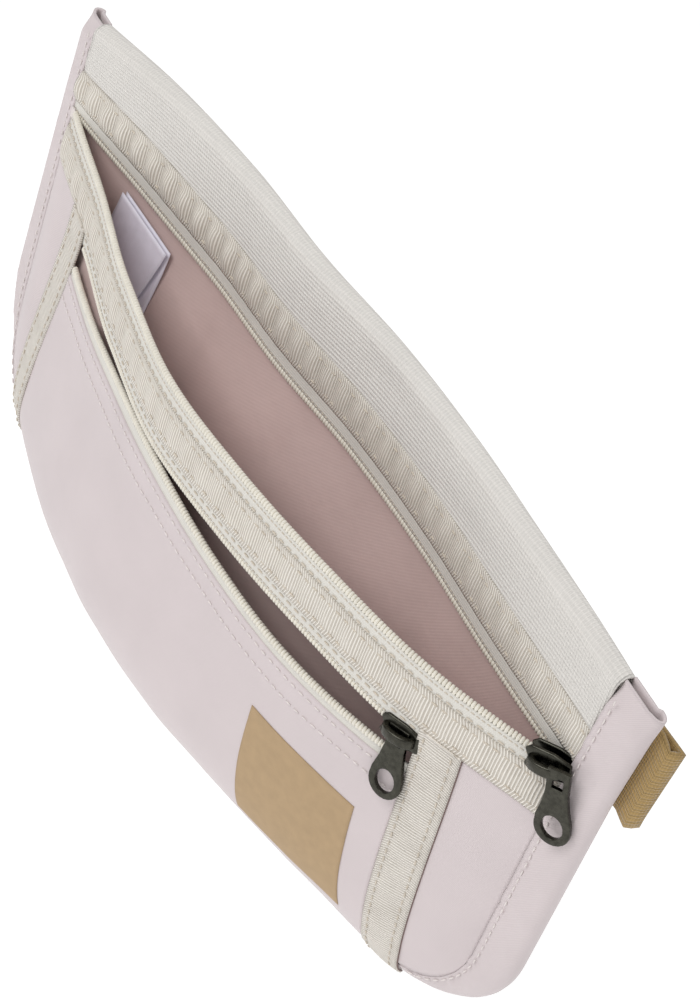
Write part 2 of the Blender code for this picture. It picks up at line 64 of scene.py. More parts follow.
def addCamera():
    azimuth, elevation, roll = (math.radians(camera[k]) for k in ("azimuth", "elevation", "roll"))
    level = Vector((math.cos(azimuth), math.sin(azimuth), 0))
    back = Vector((
        math.sin(azimuth) * math.cos(elevation),
        -math.cos(azimuth) * math.cos(elevation),
        math.sin(elevation),
    ))
    rise = back.cross(level)
    right = level * math.cos(roll) + rise * math.sin(roll)
    up = back.cross(right)
    data = bpy.data.cameras.new("camera")
    data.lens = camera["lens"]
    data.clip_end = 20
    shot = bpy.data.objects.new("camera", data)
    bpy.context.scene.collection.objects.link(shot)
    shot.matrix_world = Matrix.Translation(camera["place"]) @ Matrix((right, up, back)).transposed().to_4x4()
    bpy.context.scene.camera = shot


addCamera()

# pouch sizes, in metres, shared by every piece
pouch = {
    "half": 145 * mm,
    "zipHalf": 133 * mm,
    "top": 20 * mm,
    "bottom": -117 * mm,
    "corner": 37 * mm,
    "sag": 7.8 * mm,
    "lipZ": -16.5 * mm,
    "frontY": -2.2 * mm,
    "leafY": 3.6 * mm,
    "bandWidth": 12 * mm,
    "wallStart": 16.95 * mm,
    "tapeOuter": 116 * mm,
    "tapeInner": 104 * mm,
    "tapeStart": 16.6 * mm,
    "tapeSpread": 5 * mm,
    "panelEdge": 29.4 * mm,
    "hemInset": 1 * mm,
}
# the fold between the front and back leaves, over the top edge and round the ends
leafRadius = (pouch["leafY"] - pouch["frontY"]) / 2
leafMiddle = (pouch["leafY"] + pouch["frontY"]) / 2

# the soft lips and folds, read at eight even places from the left end of the zip to the right, in mm
waves = {
    "lipOut": (0, 4.2, 14.4, 22.9, 24.1, 21.6, 15.0, 0),
    "lipSag": (0, 1.1, 1.6, 1.6, 0.4, -0.9, -1.0, 0),
    "bow": (0, 8.9, 13.0, 12.4, 13.0, 9.9, 4.3, 0),
    "topRise": (0, -1.4, -2.9, -3.9, -3.2, -2.1, -1.0, 0),
    "pocketGap": (0, 4.4, 1.6, 0.0, 4.0, 6.6, 4.2, 0),
}


def between(low, high, share):
    return low + (high - low) * share


def smooth(low, high, value):
    # eases from 0 at low to 1 at high, whichever of them is larger
    share = min(1, max(0, (value - low) / (high - low)))
    return share * share * (3 - 2 * share)


def curveThrough(a, b, c, d, t):
    # a smooth curve from b to c, which leans on the knots before and after them
    square = (2 * a - 5 * b + 4 * c - d) * t * t
    cube = (3 * b - a - 3 * c + d) * t ** 3
    return 0.5 * (2 * b + (c - a) * t + square + cube)


def wave(name, x):
    knots = waves[name]
    last = len(knots) - 1
    place = min(1, max(0, (x + pouch["zipHalf"]) / (2 * pouch["zipHalf"]))) * last
    k = min(last - 1, int(place))
    t = place - k
    before = knots[k - 1] if k else 2 * knots[0] - knots[1]
    after = knots[k + 2] if k + 2 <= last else 2 * knots[-1] - knots[-2]
    return curveThrough(before, knots[k], knots[k + 1], after, t) * mm


def turnEnds(x, y, z):
    # the left end curls back behind the pouch, and both top corners sink
    reach = min(1.2, max(0, (-x - 60 * mm) / (85 * mm))) ** 2
    down = min(1, max(0, (pouch["top"] - z) / (137 * mm)))
    above = max(0, z - pouch["lipZ"])
    right = min(1.2, max(0, (x - 85 * mm) / (60 * mm))) ** 2
    y += reach * between(13.5, 8.5, down) * mm + 0.07 * right * above
    return (x, y, z - (0.27 * reach + 0.2 * right) * above)


def fullness(x):
    return math.sin(math.pi * min(1, max(0, (x + pouch["zipHalf"]) / (2 * pouch["zipHalf"]))))


def bottomZ(x):
    beyond = max(0, abs(x) - (pouch["half"] - pouch["corner"]))
    rise = pouch["corner"] - math.sqrt(max(0, pouch["corner"] ** 2 - beyond ** 2))
    return pouch["bottom"] + rise - pouch["sag"] * fullness(x)


profiles = {}


def profile(x):
    # the front wall at x, from the lip down: points (y, z) and their distance along it
    key = round(x, 6)
    if key in profiles:
        return profiles[key]
    full = fullness(x)
    y0 = pouch["frontY"] - wave("lipOut", x)
    z0 = pouch["lipZ"] - wave("lipSag", x)
    y1, z1 = y0, z0 - pouch["wallStart"]
    z4 = bottomZ(x)
    knots = (
        (y1, z1),
        (y1 + 4.4 * mm * full, z1 - 0.38 * (z1 - z4)),
        (pouch["frontY"] - 47.9 * mm * full, z4 + 7 * mm * full),
        (pouch["frontY"], z4),
    )
    points = [(y0, z0)]
    for k in range(41):
        t = k / 40
        weights = ((1 - t) ** 3, 3 * (1 - t) ** 2 * t, 3 * (1 - t) * t * t, t ** 3)
        points.append([sum(w * knot[i] for w, knot in zip(weights, knots)) for i in (0, 1)])
    points = np.array(points)
    along = np.r_[0, np.cumsum(np.hypot(*np.diff(points, axis=0).T))]
    profiles[key] = (points, along)
    return profiles[key]


def wall(x, depth, out=0):
    # a point on the front wall, depth below the lip along the cloth, and out from it
    points, along = profile(x)
    y = float(np.interp(depth, along, points[:, 0]))
    z = float(np.interp(depth, along, points[:, 1]))
    if out:
        step = 0.8 * mm
        y2 = float(np.interp(depth + step, along, points[:, 0]))
        z2 = float(np.interp(depth + step, along, points[:, 1]))
        away = Vector((z2 - z, -(y2 - y)))
        if away.length:
            away.normalize()
            y += away.x * out
            z += away.y * out
    return (x, y, z)


def wallLength(x):
    return float(profile(x)[1][-1])


def wallAtHeight(x, z):
    if abs(x) >= pouch["zipHalf"]:
        return pouch["frontY"]
    points, along = profile(x)
    return float(np.interp(-z, -points[:, 1], points[:, 0]))


def backY(x, z):
    return wave("bow", x) * smooth(-62 * mm, -16.5 * mm, z)


def back(x, drop, out=0):
    # a point on the front face of the back wall, drop below the top fold
    z = pouch["top"] + wave("topRise", x) - drop
    return (x, backY(x, z) + pouch["frontY"] - out, z)


def wallLine(reach, depth, out):
    # a line across the front wall, as a path of share
    return lambda share: wall(between(-reach, reach, share), depth, out)


def backLine(reach, drop, out):
    return lambda share: back(between(-reach, reach, share), drop, out)


def panelTop(x):
    return pouch["panelEdge"] + wave("pocketGap", x)


def slant(x, depth):
    # the side tapes spread from the zip down to the hem
    return x - pouch["tapeSpread"] * max(0, 1 - (depth - pouch["tapeStart"]) / (75 * mm))


def panelPoint(x, depth, out=0):
    # the front panel's own soft surface
    gap = wave("pocketGap", x)
    edge = math.exp(-((depth - panelTop(x)) / (5 * mm)) ** 2)
    soft = noise.noise(Vector((x * 16, depth * 14, 2))) * 1.3 * mm * (1 - edge)
    soft += noise.noise(Vector((x * 55 + depth * 20, depth * 45, 8))) * 0.35 * mm * (1 - edge)
    soft *= 1 - 0.85 * smooth(62 * mm, 82 * mm, x) * smooth(70 * mm, 50 * mm, depth)
    return wall(x, depth, 0.4 * mm + soft + 0.1 * gap * edge + out)


# a socket that Python maths can be written with
class Number:
    def __init__(self, tree, socket):
        self.tree = tree
        self.socket = socket

    def math(self, kind, other=0.0):
        node = self.tree.nodes.new("ShaderNodeMath")
        node.operation = kind
        for slot, value in zip(node.inputs, (self, other)):
            if isinstance(value, Number):
                self.tree.links.new(value.socket, slot)
            else:
                slot.default_value = value
        return Number(self.tree, node.outputs[0])

    def flipped(self, kind, other):
        node = self.tree.nodes.new("ShaderNodeMath")
        node.operation = kind
        node.inputs[0].default_value = other
        self.tree.links.new(self.socket, node.inputs[1])
        return Number(self.tree, node.outputs[0])

    def __add__(self, other):
        return self.math("ADD", other)

    def __sub__(self, other):
        return self.math("SUBTRACT", other)

    def __mul__(self, other):
        return self.math("MULTIPLY", other)

    def __truediv__(self, other):
        return self.math("DIVIDE", other)

    __radd__ = __add__
    __rmul__ = __mul__

    def __rsub__(self, other):
        return self.flipped("SUBTRACT", other)

    def sine(self, pitch):
        return (self * (2 * math.pi / pitch)).math("SINE")


# one finish: a material, and the few things that its nodes are made from
class Look:
    def __init__(self, name, colour, roughness, metallic=0.0, sheen=0.0, specular=0.5):
        self.material = bpy.data.materials.new(name)
        self.material.use_nodes = True
        self.tree = self.material.node_tree
        self.shader = self.tree.nodes["Principled BSDF"]
        self.colour = colour
        self.put("Base Color", (*colour, 1))
        self.put("Roughness", roughness)
        self.put("Metallic", metallic)
        self.put("Sheen Weight", sheen)
        self.put("Sheen Roughness", 0.4)
        self.put("Specular IOR Level", specular)

    def put(self, name, value):
        self.shader.inputs[name].default_value = value

    def node(self, kind, settings=None, sockets=None):
        made = self.tree.nodes.new(kind)
        for key, value in (settings or {}).items():
            setattr(made, key, value)
        for key, value in (sockets or {}).items():
            if isinstance(value, Number):
                self.tree.links.new(value.socket, made.inputs[key])
            elif isinstance(value, bpy.types.NodeSocket):
                self.tree.links.new(value, made.inputs[key])
            else:
                made.inputs[key].default_value = value
        return made

    def threads(self):
        # the cloth's own lengths in mm: along its columns and down its rows
        split = self.node("ShaderNodeSeparateXYZ", {}, {"Vector": self.node("ShaderNodeUVMap").outputs[0]})
        return Number(self.tree, split.outputs[0]), Number(self.tree, split.outputs[1])

    def spots(self, scale, detail=3.0, source=None):
        vector = source or self.node("ShaderNodeTexCoord").outputs["Object"]
        made = self.node("ShaderNodeTexNoise", {}, {"Vector": vector, "Scale": scale, "Detail": detail})
        return Number(self.tree, made.outputs[0])

    def shade(self, amount, dark, light):
        # the base colour runs from dark to light shares of itself
        low = tuple(c * dark for c in self.colour)
        high = tuple(c * light for c in self.colour)
        return self.mix(amount, low, high)

    def mix(self, amount, low, high):
        made = self.node("ShaderNodeMix", {"data_type": "RGBA", "clamp_factor": True}, {0: amount})
        for slot, colour in ((6, low), (7, high)):
            if isinstance(colour, bpy.types.NodeSocket):
                self.tree.links.new(colour, made.inputs[slot])
            else:
                made.inputs[slot].default_value = (*colour, 1)
        self.tree.links.new(made.outputs[2], self.shader.inputs["Base Color"])
        return made.outputs[2]

    def bump(self, height, strength, distance):
        made = self.node("ShaderNodeBump", {}, {"Height": height, "Strength": strength, "Distance": distance})
        self.tree.links.new(made.outputs[0], self.shader.inputs["Normal"])


def twillLook(name, colour):
    look = Look(name, colour, 0.78, sheen=0.25, specular=0.3)
    u, v = look.threads()
    fine = (u * 0.8 + v).sine(0.62) * 0.5 + 0.5
    weft = (u - v * 0.3).sine(0.31) * 0.25 + 0.5
    cloud = look.spots(42, 4)
    look.shade(fine * 0.35 + weft * 0.2 + cloud * 0.6, 0.86, 1.07)
    look.bump(fine * 0.6 + weft * 0.3 + look.spots(900, 2) * 0.5, 0.35, 0.00012)
    return look.material


def knitLook(name, colour):
    look = Look(name, colour, 0.85, sheen=0.2, specular=0.25)
    u, v = look.threads()
    first = (u + v * 0.95).sine(2.1)
    second = (u * 0.9 - v * 0.55).sine(1.7)
    dimples = first * second * 0.5 + 0.5
    look.shade(dimples * 0.7 + look.spots(60) * 0.5, 0.88, 1.05)
    look.bump(dimples + look.spots(1500, 2) * 0.25, 0.9, 0.00045)
    return look.material


def ribLook(name, colour, light, pitch, width, across=True):
    # ribs across the tape, which lean over outside the two rows of stitches
    look = Look(name, colour, 0.6, sheen=0.15, specular=0.35)
    u, v = look.threads()
    if not across:
        u, v = v, u
    edge = ((v - width / 2).math("ABSOLUTE") - (width / 2 - 2.2)).math("MAXIMUM", 0.0)
    ribs = (u + edge * 0.4 + look.spots(9, 0) * 1.2).sine(pitch) * 0.5 + 0.5
    cloud = look.spots(130, 3)
    look.mix(ribs * 0.9 + cloud * 0.5 - 0.05, tuple(c * 0.72 for c in colour), light)
    look.bump(ribs + look.spots(2500, 2) * 0.15, 0.9, 0.00035)
    return look.material


def tapeLook(name, colour):
    look = Look(name, colour, 0.75, sheen=0.15, specular=0.3)
    u, v = look.threads()
    rows = v.sine(0.8) * 0.5 + 0.5
    cross = (u + (v / 0.8).math("FLOOR") * 0.3).sine(0.6) * 0.5 + 0.5
    weave = rows * cross
    look.shade(weave * 0.6 + look.spots(80) * 0.5, 0.86, 1.05)
    look.bump(weave, 0.5, 0.00015)
    return look.material


def liningLook(name, colour):
    look = Look(name, colour, 0.55, sheen=0.3, specular=0.4)
    u, v = look.threads()
    cloth = (u.sine(0.5) * v.sine(0.5)) * 0.5 + 0.5
    look.shade(cloth * 0.2 + look.spots(22, 4) * 0.9, 0.84, 1.12)
    look.bump(look.spots(32, 4) + cloth * 0.04, 0.5, 0.003)
    return look.material


def elasticLook(name, colour):
    look = Look(name, colour, 0.9, sheen=0.3, specular=0.2)
    u, v = look.threads()
    first = (u + v * 0.9).sine(1.5)
    second = (u - v * 0.9).sine(1.5)
    rows = v.sine(1.25)
    weave = first * second * 0.3 + rows * 0.25 + 0.5
    look.shade(weave * 0.8 + look.spots(500, 2) * 0.3, 0.62, 1.12)
    look.bump(weave, 0.9, 0.00035)
    return look.material


def plainLook(name, colour, roughness, metallic=0.0, grain=0.0, coat=0.0):
    look = Look(name, colour, roughness, metallic)
    look.put("Coat Weight", coat)
    look.shade(look.spots(300, 3), 0.88, 1.1)
    if grain:
        look.bump(look.spots(1800, 3), grain, 0.0001)
    return look.material


def metalLook(name, colour):
    look = Look(name, colour, 0.24, 1.0)
    wear = look.spots(700, 4)
    look.mix(wear * 1.6 - 0.35, colour, tuple(c * 2.4 for c in colour))
    rough = wear * 0.25 + 0.14
    look.tree.links.new(rough.socket, look.shader.inputs["Roughness"])
    look.bump(look.spots(1200, 2), 0.12, 0.00006)
    return look.material


looks = {
    "pink": twillLook("pinkTwill", (0.66, 0.585, 0.59)),
    "knit": knitLook("knitMesh", (0.78, 0.75, 0.71)),
    "grosgrain": ribLook("grosgrainRib", (0.68, 0.60, 0.50), (0.92, 0.87, 0.79), 0.86, 12.0),
    "tape": tapeLook("zipTape", (0.76, 0.735, 0.68)),
    "coil": plainLook("coilTeeth", (0.80, 0.76, 0.67), 0.38),
    "thread": plainLook("sewingThread", (0.76, 0.70, 0.68), 0.6),
    "creamThread": plainLook("creamThread", (0.62, 0.55, 0.46), 0.6),
    "lining": liningLook("dustyLining", (0.60, 0.455, 0.43)),
    "label": plainLook("labelSatin", (0.74, 0.71, 0.80), 0.45),
    "patch": plainLook("patchPrint", (0.44, 0.305, 0.17), 0.7, grain=0.1),
    "elastic": elasticLook("beltElastic", (0.46, 0.31, 0.13)),
    "metal": metalLook("gunmetal", (0.035, 0.034, 0.028)),
    "plastic": plainLook("bucklePlastic", (0.05, 0.045, 0.04), 0.42, grain=0.15),
    "dark": plainLook("seamShade", (0.22, 0.15, 0.14), 0.9),
}
print("looks", len(looks))


def finish(name, made, look, nodes, body="pouch"):
    mesh = bpy.data.meshes.new(name)
    made.to_mesh(mesh)
    made.free()
    mesh.materials.append(looks[look])
    piece = bpy.data.objects.new(name, mesh)
    bpy.context.scene.collection.objects.link(piece)
    if body:
        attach(piece, body)
    if nodes:
        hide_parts(*nodes)
    return piece


def thicken(piece, thickness):
    shell = piece.modifiers.new("cloth", "SOLIDIFY")
    shell.thickness = thickness
    shell.offset = 0


def cloth(name, columns, rows, size, place, look, nodes, thickness=0.8 * mm, slot=None, body="pouch"):
    # a grid put by place(u, v); size is its width and height in mm, which the weave is drawn in
    made = bmesh.new()
    bmesh.ops.create_grid(made, x_segments=columns, y_segments=rows, size=0.5)
    layer = made.loops.layers.uv.new("weave")
    for face in made.faces:
        face.smooth = True
        for loop in face.loops:
            corner = loop.vert.co
            loop[layer].uv = ((corner.x + 0.5) * size[0], (corner.y + 0.5) * size[1])
    for vertex in made.verts:
        spot = place(vertex.co.x + 0.5, vertex.co.y + 0.5)
        vertex.co = Vector(turnEnds(*spot))
    piece = finish(name, made, look, nodes, body)
    thicken(piece, thickness)
    return piece


def grains(name, spots, look, nodes=(), body="pouch"):
    # one small ellipsoid at each (centre, long direction, out direction, half sizes)
    made = bmesh.new()
    for centre, along, out, sizes in spots:
        side = along.cross(out)
        turn = Matrix((along, side, out)).transposed().to_4x4()
        scale = Matrix.Diagonal((*sizes, 1))
        place = Matrix.Translation(centre) @ turn @ scale
        bmesh.ops.create_uvsphere(made, u_segments=6, v_segments=4, radius=1, matrix=place)
    for face in made.faces:
        face.smooth = True
    return finish(name, made, look, nodes, body)


def pointsAlong(path, pitch):
    # points every pitch along a path(share), with their direction
    samples = [Vector(turnEnds(*path(k / 400))) for k in range(401)]
    lengths = np.r_[0, np.cumsum([(b - a).length for a, b in zip(samples, samples[1:])])]
    count = max(1, int(lengths[-1] / pitch))
    found = []
    for k in range(count):
        here = (k + 0.5) / count * lengths[-1]
        index = min(399, max(0, int(np.searchsorted(lengths, here)) - 1))
        share = (here - lengths[index]) / max(1e-9, lengths[index + 1] - lengths[index])
        start, end = samples[index], samples[index + 1]
        found.append((start.lerp(end, share), (end - start).normalized()))
    return found


def stitchRow(path, outward, pitch=3.1 * mm, length=2.3 * mm, thread=0.26 * mm):
    spots = []
    for centre, direction in pointsAlong(path, pitch):
        out = outward - direction * outward.dot(direction)
        out.normalize()
        spots.append((centre + out * thread * 0.6, direction, out, (length / 2, thread, thread * 0.9)))
    return spots


def teethRow(path, outward, pitch=1.1 * mm):
    spots = []
    for centre, direction in pointsAlong(path, pitch):
        out = outward - direction * outward.dot(direction)
        out.normalize()
        across = direction.cross(out)
        spots.append((centre - out * 0.3 * mm, across, out, (1.3 * mm, 0.66 * mm, 0.95 * mm)))
    return spots


frontward = Vector((0, -1, 0.15)).normalized()
half, zipHalf = pouch["half"], pouch["zipHalf"]
stripHalf = zipHalf - 0.2 * mm
# pitch, length and thickness of the fine stitches beside a zip
fineStitch = (1.6 * mm, 1.3 * mm, 0.16 * mm)


def pucker(x, share, amount=0.35):
    # the tape lifts into small pillows between its two stitch rows
    pillow = math.sin(math.pi * min(1, max(0, share)))
    bumps = 0.5 + 0.5 * math.sin(x / (7.8 * mm) * 2 * math.pi + 1.7 * math.sin(x * 31))
    strong = 1 + 1.3 * smooth(20 * mm, -60 * mm, x) if x < 20 * mm else 1
    return amount * mm * pillow * bumps * strong


def makeBackStrips():
    foot = 19.5 * mm
    rise, fall = 0.45, 0.65

    def fold(u, v):
        x = between(-stripHalf, stripHalf, u)
        ripple = noise.noise(Vector((x * 22, v * 3, 4))) * 0.7 * mm
        if v <= rise:
            drop = between(foot, leafRadius, v / rise)
            spot = back(x, drop)
            return (x, spot[1] + ripple * math.sin(math.pi * v / rise), spot[2])
        crest = pouch["top"] + wave("topRise", x)
        if v >= fall:
            z = crest - leafRadius - pouch["bandWidth"] * (v - fall) / (1 - fall)
            return (x, backY(x, z) + pouch["leafY"], z)
        turn = math.pi * (v - rise) / (fall - rise)
        middle = backY(x, crest) + leafMiddle
        return (x, middle - leafRadius * math.cos(turn), crest + leafRadius * (math.sin(turn) - 1))

    cloth("topStrip", 160, 40, (266, 40), fold, "knit", ["top_strip"], slot="knit_mesh")

    def upper(u, v):
        x = between(-stripHalf, stripHalf, u)
        return back(x, between(31.3 * mm, 19.2 * mm, v), 0.35 * mm + pucker(x, v, 0.75))

    cloth("upperGrosgrain", 380, 14, (266, 12), upper, "grosgrain", ["upper_grosgrain"], slot="grosgrain")

    def tape(u, v):
        x = between(-stripHalf, stripHalf, u)
        return back(x, between(35.6 * mm, 31 * mm, v), 0.05 * mm)

    cloth("mainTapeBack", 160, 4, (266, 4.6), tape, "tape", ["main_tape_back"], slot="zip_tape")
    rows = []
    for drop in (29.4 * mm, 21.3 * mm):
        rows += stitchRow(backLine(stripHalf, drop, 0.75 * mm), frontward)
    grains("upperGrosgrainStitches", rows, "creamThread")
    rows = stitchRow(backLine(stripHalf, 34.9 * mm, 0.5 * mm), frontward, *fineStitch)
    grains("mainTapeBackStitches", rows, "creamThread")


def makePanelBack():
    def panel(u, v):
        reach = half - 3 * mm
        x = between(-reach, reach, u)
        z = between(bottomZ(x) + 3.5 * mm, pouch["top"] + wave("topRise", x) - 3 * mm, v)
        return (x, backY(x, z) + 1.25 * mm, z)

    piece = cloth("backPanel", 90, 50, (284, 140), panel, "knit", ["back_panel"], 2.5 * mm, slot="knit_mesh")

    def lining(u, v):
        reach = zipHalf - 2 * mm
        x = between(-reach, reach, u)
        z = between(bottomZ(x) + 4 * mm, pouch["lipZ"] + 1 * mm, v)
        fold = abs(noise.noise(Vector((x * 34, z * 9, 1)))) * 3.2 * mm * smooth(-18 * mm, -40 * mm, z)
        return (x, backY(x, z) - 0.9 * mm - fold, z)

    cloth("backLining", 150, 60, (262, 100), lining, "lining", ["back_lining"], 0.4 * mm, slot="lining")


def makeZips():
    reach = zipHalf - 1.6 * mm
    front = teethRow(wallLine(reach, 0, 0.1 * mm), frontward)
    grains("mainCoilFront", front, "coil", ["main_coil_front"])
    rear = teethRow(backLine(reach, 36.4 * mm, 0.2 * mm), frontward)
    grains("mainCoilBack", rear, "coil", ["main_coil_back"])

    def tapeFront(u, v):
        x = between(-stripHalf, stripHalf, u)
        return wall(x, between(5.2 * mm, 0.8 * mm, v))

    cloth("mainTapeFront", 160, 5, (266, 4.4), tapeFront, "tape", ["main_tape_front"], slot="zip_tape")
    rows = stitchRow(wallLine(stripHalf, 1.9 * mm, 0.45 * mm), frontward, *fineStitch)
    rows += stitchRow(wallLine(stripHalf, 4.2 * mm, 0.45 * mm), frontward)
    grains("mainTapeFrontStitches", rows, "creamThread")

    def middle(u, v):
        x = between(-stripHalf, stripHalf, u)
        return wall(x, between(16.9 * mm, 5.0 * mm, v), 0.35 * mm + pucker(x + 40 * mm, v, 0.5))

    cloth("midGrosgrain", 380, 14, (266, 11.9), middle, "grosgrain", ["mid_grosgrain"], slot="grosgrain")
    rows = []
    for depth in (7.0 * mm, 14.9 * mm):
        rows += stitchRow(wallLine(stripHalf, depth, 0.75 * mm), frontward)
    grains("midGrosgrainStitches", rows, "creamThread")

    pocketHalf = pouch["tapeInner"] - 4.4 * mm

    def tapeUpper(u, v):
        x = between(-pocketHalf, pocketHalf, u)
        return wall(x, between(21.3 * mm, pouch["tapeStart"], v))

    cloth("pocketTapeUpper", 120, 5, (208, 4.7), tapeUpper, "tape", ["pocket_tape_upper"], slot="zip_tape")

    def tapeLower(u, v):
        x = between(-pocketHalf, pocketHalf, u)
        return wall(x, panelTop(x) + between(0.6 * mm, -3.1 * mm, v), 0.12 * wave("pocketGap", x))

    cloth("pocketTapeLower", 120, 5, (208, 3.7), tapeLower, "tape", ["pocket_tape_lower"], slot="zip_tape")
    reach = pocketHalf - 1.5 * mm
    upper = teethRow(wallLine(reach, 22.2 * mm, 0.1 * mm), frontward)
    grains("pocketCoilUpper", upper, "coil", ["pocket_coil_upper"])

    def lowerLine(s):
        x = between(-reach, reach, s)
        return wall(x, panelTop(x) - 3.9 * mm, 0.1 * mm + 0.3 * wave("pocketGap", x))

    grains("pocketCoilLower", teethRow(lowerLine, frontward), "coil", ["pocket_coil_lower"])
    rows = stitchRow(wallLine(reach, 18.4 * mm, 0.45 * mm), frontward)
    rows += stitchRow(wallLine(reach, 20.7 * mm, 0.45 * mm), frontward, *fineStitch)
    grains("pocketTapeStitches", rows, "creamThread")


def makeFront():
    pocketHalf = pouch["tapeInner"] - 0.1 * mm

    def panel(u, v):
        flat = between(-pocketHalf, pocketHalf, u)
        depth = between(wallLength(flat) - pouch["hemInset"], panelTop(flat), v)
        slanted = math.copysign(slant(abs(flat), depth), flat)
        x = between(flat, slanted, smooth(60 * mm, pouch["tapeInner"], abs(flat)))
        depth = between(wallLength(x) - pouch["hemInset"], panelTop(x), v)
        return panelPoint(x, depth)

    cloth("frontPanel", 200, 90, (208, 84), panel, "pink", ["front_panel"], slot="pink_twill")
    rows = []
    for drop in (2.2 * mm, 8.0 * mm):

        def line(s, drop=drop):
            reach = slant(pocketHalf, panelTop(0) + drop)
            x = between(-reach, reach, s)
            return panelPoint(x, panelTop(x) + drop, 0.4 * mm)

        rows += stitchRow(line, frontward)
    grains("frontPanelStitches", rows, "thread")
    for side, name in ((1, "Right"), (-1, "Left")):
        outer, inner = pouch["tapeOuter"], pouch["tapeInner"]

        def tape(u, v, side=side):
            x = between(inner, outer, u)
            depth = between(wallLength(x) - pouch["hemInset"], pouch["tapeStart"], v)
            x = side * slant(x, depth)
            return wall(x, depth, 0.9 * mm + pucker(depth * 1.1, u, 0.3))

        node = "vertical_tape_" + name.lower()
        cloth("verticalTape" + name, 12, 110, (12, 90), tape, "sideTape", [node], slot="grosgrain")
        rows = []
        for inset in (2.0 * mm, 10.0 * mm):

            def line(s, inset=inset, side=side):
                depth = between(17.5 * mm, wallLength(inner + inset) - 4 * mm, s)
                return wall(side * slant(inner + inset, depth), depth, 1.4 * mm)

            rows += stitchRow(line, frontward)
        grains("verticalTapeStitches" + name, rows, "creamThread")

        # painted shade along each corner seam's crease, drawn as a thin dark strip in the seamShade colour
        def seam(u, v, side=side):
            depth = between(wallLength(outer) - pouch["hemInset"], 17 * mm, v)
            x = side * (slant(outer, depth) + between(-0.2, 0.2, u) * mm)
            return wall(x, depth, 0.7 * mm)

        cloth("cornerSeamShade" + name, 1, 90, (1, 80), seam, "dark", [], 0.3 * mm)

        def corner(u, v, side=side):
            x = between(outer - 5.5 * mm * v, stripHalf, u)
            low = bandInner(x) + 0.3 * mm
            high = pouch["lipZ"] - pouch["tapeStart"]
            z = between(low, high, v)
            swell = math.sin(math.pi * u) * math.sin(math.pi * v) * 1.6 * mm
            return (side * x, wallAtHeight(side * x, z) - 0.2 * mm - swell, z)

        node = "front_corner_" + name.lower()
        cloth("frontCorner" + name, 24, 50, (17, 80), corner, "pink", [node], slot="pink_twill")


# how much of the end band's length is straight, and how far the rest turns round the corner
bandStraight = 0.62
bandTurn = math.radians(75)


def bandPath(u):
    # a point on the end's edge, the way inwards from it, and the band's width there
    if u <= bandStraight:
        z = between(pouch["top"], pouch["bottom"] + pouch["corner"], u / bandStraight)
        return Vector((half, z)), Vector((-1, 0)), pouch["bandWidth"]
    share = (u - bandStraight) / (1 - bandStraight)
    turn = bandTurn * share
    out = Vector((math.cos(turn), -math.sin(turn)))
    centre = Vector((half - pouch["corner"], pouch["bottom"] + pouch["corner"]))
    width = between(pouch["bandWidth"], 3.5 * mm, smooth(0, 1, share))
    return centre + pouch["corner"] * out, -out, width


def bandInner(x):
    stations = [bandPath(between(bandStraight, 1, k / 30)) for k in range(31)]
    inner = [spot + way * width for spot, way, width in reversed(stations)]
    return float(np.interp(x, [p.x for p in inner], [p.y for p in inner]))


def makeBands():
    bandFront, bandRear = 0.35, 0.65
    for side, name in ((1, "Right"), (-1, "Left")):

        def leafPoint(u, deep, side=side):
            spot, way, width = bandPath(u)
            flat = spot + way * deep
            return flat, wallAtHeight(side * flat.x, flat.y)

        def band(u, v, side=side):
            spot, way, width = bandPath(u)
            close = smooth(0.06, 0, u) * 2.4 * mm
            if v <= bandFront:
                flat, y = leafPoint(u, between(width, leafRadius, v / bandFront))
                quilt = 0.35 * mm * noise.noise(Vector((u * 40, v * 4, side)))
                return (side * flat.x, y - 0.35 * mm - quilt + close, flat.y)
            if v >= bandRear:
                flat, y = leafPoint(u, between(leafRadius, width, (v - bandRear) / (1 - bandRear)))
                return (side * flat.x, pouch["leafY"] - close * 0.4, flat.y)
            turn = math.pi * (v - bandFront) / (bandRear - bandFront)
            flat, y = leafPoint(u, leafRadius)
            y += close
            edge = spot + way * leafRadius * (1 - math.sin(turn))
            middle = (pouch["leafY"] + y) / 2
            return (side * edge.x, middle - (pouch["leafY"] - y) / 2 * math.cos(turn), edge.y)

        node = "end_band_" + name.lower()
        cloth("endBand" + name, 150, 30, (170, 30), band, "pink", [node], slot="pink_twill")

        def line(s, side=side):
            u = between(0.02, 0.98, s)
            spot, way, width = bandPath(u)
            flat = spot + way * width * 0.83
            return (side * flat.x, wallAtHeight(side * flat.x, flat.y) - 0.9 * mm, flat.y)

        grains("endBandStitches" + name, stitchRow(line, frontward), "thread")

    hemFront, hemRear = 0.4, 0.7

    def hem(u, v):
        reach = pouch["tapeOuter"] - 0.5 * mm
        x = between(-reach, reach, u)
        low = bottomZ(x)
        if v <= hemFront:
            return wall(x, wallLength(x) - 5 * mm * (1 - v / hemFront), 0.3 * mm)
        turn = math.pi * min(1, (v - hemFront) / (hemRear - hemFront))
        y = leafMiddle - leafRadius * math.cos(turn)
        rise = max(0, (v - hemRear) / (1 - hemRear)) * 8 * mm
        return (x, y, low - 1.4 * mm * math.sin(turn) + rise)

    cloth("bottomBinding", 100, 20, (232, 20), hem, "pink", ["bottom_binding"], slot="pink_twill")


